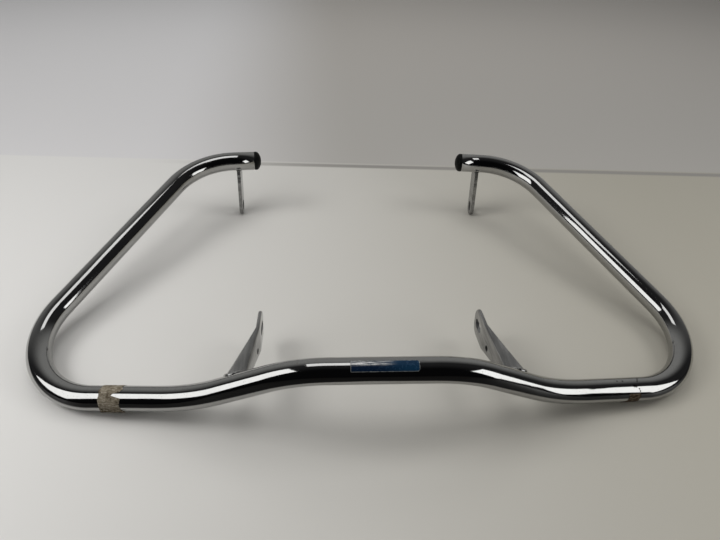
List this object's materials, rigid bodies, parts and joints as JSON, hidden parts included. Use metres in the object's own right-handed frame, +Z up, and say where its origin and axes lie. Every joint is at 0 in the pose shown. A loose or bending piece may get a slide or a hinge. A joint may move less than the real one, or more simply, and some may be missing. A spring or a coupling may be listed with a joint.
{
  "type": "motorcycle crash bars",
  "caption": "Chromed bent-tube engine guard for a motorcycle, with flattened lower struts and upright tabs slotted for bolting to the frame, and black domed end plugs.",
  "frame": {"origin": "on the ground that the bars rest on, under the middle of the part's box", "axes": "+X to the right seen from the front run, +Y back along the arms, +Z up"},
  "size_m": [0.7336, 0.4152, 0.0973],
  "materials": {
    "tube_chrome": "bright chrome plate, lightly smudged",
    "bracket_chrome": "bright chrome plate over pressed steel, duller at the cut edges",
    "weld_chrome": "chrome plate over rippled weld metal",
    "plug_plastic": "black moulded plastic, satin",
    "label_foil": "worn blue foil film with a silver border",
    "old_tape": "dull, grubby adhesive tape with ragged edges"
  },
  "bodies": {
    "root": {"main_tube": "tube_chrome", "lower_strut_right": "bracket_chrome", "lower_strut_left": "bracket_chrome", "strut_weld_right": "weld_chrome", "strut_weld_left": "weld_chrome", "upper_tab_right": "bracket_chrome", "upper_tab_left": "bracket_chrome", "tab_weld_right": "weld_chrome", "tab_weld_left": "weld_chrome", "end_plug_right": "plug_plastic", "end_plug_left": "plug_plastic", "foil_label": "label_foil", "tape_band": "old_tape", "tape_patch": "old_tape"}
  },
  "joints": []
}
